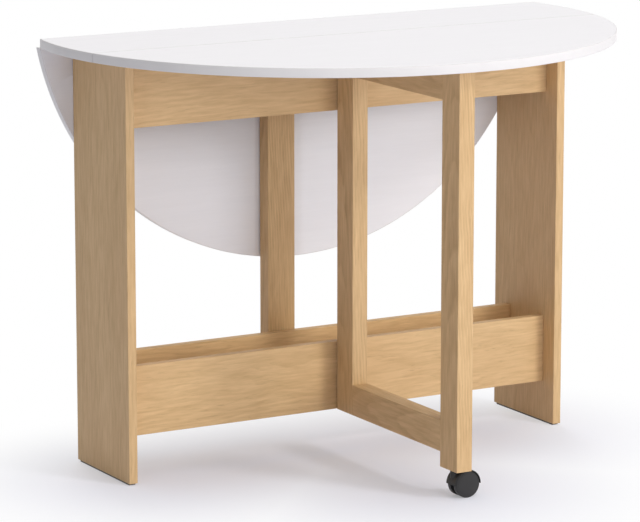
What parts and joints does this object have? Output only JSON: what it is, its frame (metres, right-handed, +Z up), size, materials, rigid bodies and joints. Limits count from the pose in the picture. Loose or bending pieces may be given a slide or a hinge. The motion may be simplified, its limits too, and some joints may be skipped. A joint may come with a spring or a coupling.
{
  "type": "drop-leaf folding table",
  "caption": "Round drop-leaf table on a narrow oak-look frame: leaves rest on swing-out gates with caster feet; one leaf is up, the other hangs down.",
  "frame": {"origin": "on the floor, under the middle of the bounding box of the table as it stands in the picture", "axes": "+X along the frame and the hinge lines (longest extent), +Y from the raised front leaf towards the hanging rear leaf, +Z up"},
  "size_m": [1.022, 0.6382, 0.75],
  "materials": {
    "oak_board": "oak-grain laminate on board, matt, fine vertical or lengthwise grain",
    "white_board": "white laminate on board, satin, faint grain",
    "beech": "plain beech, unfinished",
    "zinc": "zinc plated, bright",
    "hinge_steel": "nickel plated, satin",
    "black_plastic": "moulded, near black, semi-matt",
    "pale_plastic": "moulded, off-white, matt"
  },
  "bodies": {
    "frame": {"left_end_panel": "oak_board", "right_end_panel": "oak_board", "upper_front_rail": "oak_board", "upper_rear_rail": "oak_board", "lower_front_rail": "oak_board", "lower_rear_rail": "oak_board", "rail_loose_tenons": "beech", "centre_top": "white_board", "floor_glides": "black_plastic", "top_brackets": "zinc", "leaf_hinge_fixed_plates": "hinge_steel", "gate_hinge_rail_plates": "hinge_steel"},
    "front_leaf_body": {"front_leaf": "white_board", "front_leaf_hinge_plates": "hinge_steel", "front_gate_stop": "pale_plastic"},
    "front_gate": {"front_gate_inner_stile": "oak_board", "front_gate_outer_stile": "oak_board", "front_gate_top_rail": "oak_board", "front_gate_bottom_rail": "oak_board", "front_gate_loose_tenons": "beech", "front_gate_hinge_plates": "hinge_steel", "front_gate_support_pad": "pale_plastic", "front_gate_caster_stem": "hinge_steel"},
    "front_caster": {"front_caster_hood": "black_plastic", "front_caster_axle": "hinge_steel"},
    "front_left_wheel": {"front_caster_left_wheel": "black_plastic"},
    "front_right_wheel": {"front_caster_right_wheel": "black_plastic"},
    "rear_leaf_body": {"rear_leaf": "white_board", "rear_leaf_hinge_plates": "hinge_steel", "rear_gate_stop": "pale_plastic"},
    "rear_gate": {"rear_gate_inner_stile": "oak_board", "rear_gate_outer_stile": "oak_board", "rear_gate_top_rail": "oak_board", "rear_gate_bottom_rail": "oak_board", "rear_gate_loose_tenons": "beech", "rear_gate_hinge_plates": "hinge_steel", "rear_gate_support_pad": "pale_plastic", "rear_gate_caster_stem": "hinge_steel"},
    "rear_caster": {"rear_caster_hood": "black_plastic", "rear_caster_axle": "hinge_steel"},
    "rear_left_wheel": {"rear_caster_left_wheel": "black_plastic"},
    "rear_right_wheel": {"rear_caster_right_wheel": "black_plastic"}
  },
  "joints": [
    {"name": "front_leaf_lift", "type": "hinge", "parent": "frame", "child": "front_leaf_body", "pos_m": [0, 0.09085, 0.734], "axis": [-1, 0, 0], "range_deg": [0, 2.5]},
    {"name": "rear_leaf_fold", "type": "hinge", "parent": "frame", "child": "rear_leaf_body", "pos_m": [0, 0.29285, 0.734], "axis": [1, 0, 0], "range_deg": [0, 90]},
    {"name": "front_gate_swing", "type": "hinge", "parent": "frame", "child": "front_gate", "pos_m": [0.0205, 0.12555, 0], "axis": [0, 0, 1], "range_deg": [0, 90]},
    {"name": "rear_gate_swing", "type": "hinge", "parent": "frame", "child": "rear_gate", "pos_m": [-0.0205, 0.25815, 0], "axis": [0, 0, -1], "range_deg": [0, 0.2]},
    {"name": "front_caster_swivel", "type": "hinge", "parent": "front_gate", "child": "front_caster", "pos_m": [0.0032, -0.24495, 0], "axis": [0, 0, 1], "continuous": true},
    {"name": "rear_caster_swivel", "type": "hinge", "parent": "rear_gate", "child": "rear_caster", "pos_m": [-0.391, 0.27545, 0], "axis": [0, 0, 1], "range_deg": [-200, 24]},
    {"name": "front_left_wheel_spin", "type": "hinge", "parent": "front_caster", "child": "front_left_wheel", "pos_m": [0.0212, -0.24495, 0.023], "axis": [0, 1, 0], "continuous": true},
    {"name": "front_right_wheel_spin", "type": "hinge", "parent": "front_caster", "child": "front_right_wheel", "pos_m": [0.0212, -0.24495, 0.023], "axis": [0, 1, 0], "continuous": true},
    {"name": "rear_left_wheel_spin", "type": "hinge", "parent": "rear_caster", "child": "rear_left_wheel", "pos_m": [-0.391, 0.29345, 0.023], "axis": [1, 0, 0], "continuous": true},
    {"name": "rear_right_wheel_spin", "type": "hinge", "parent": "rear_caster", "child": "rear_right_wheel", "pos_m": [-0.391, 0.29345, 0.023], "axis": [1, 0, 0], "continuous": true}
  ]
}
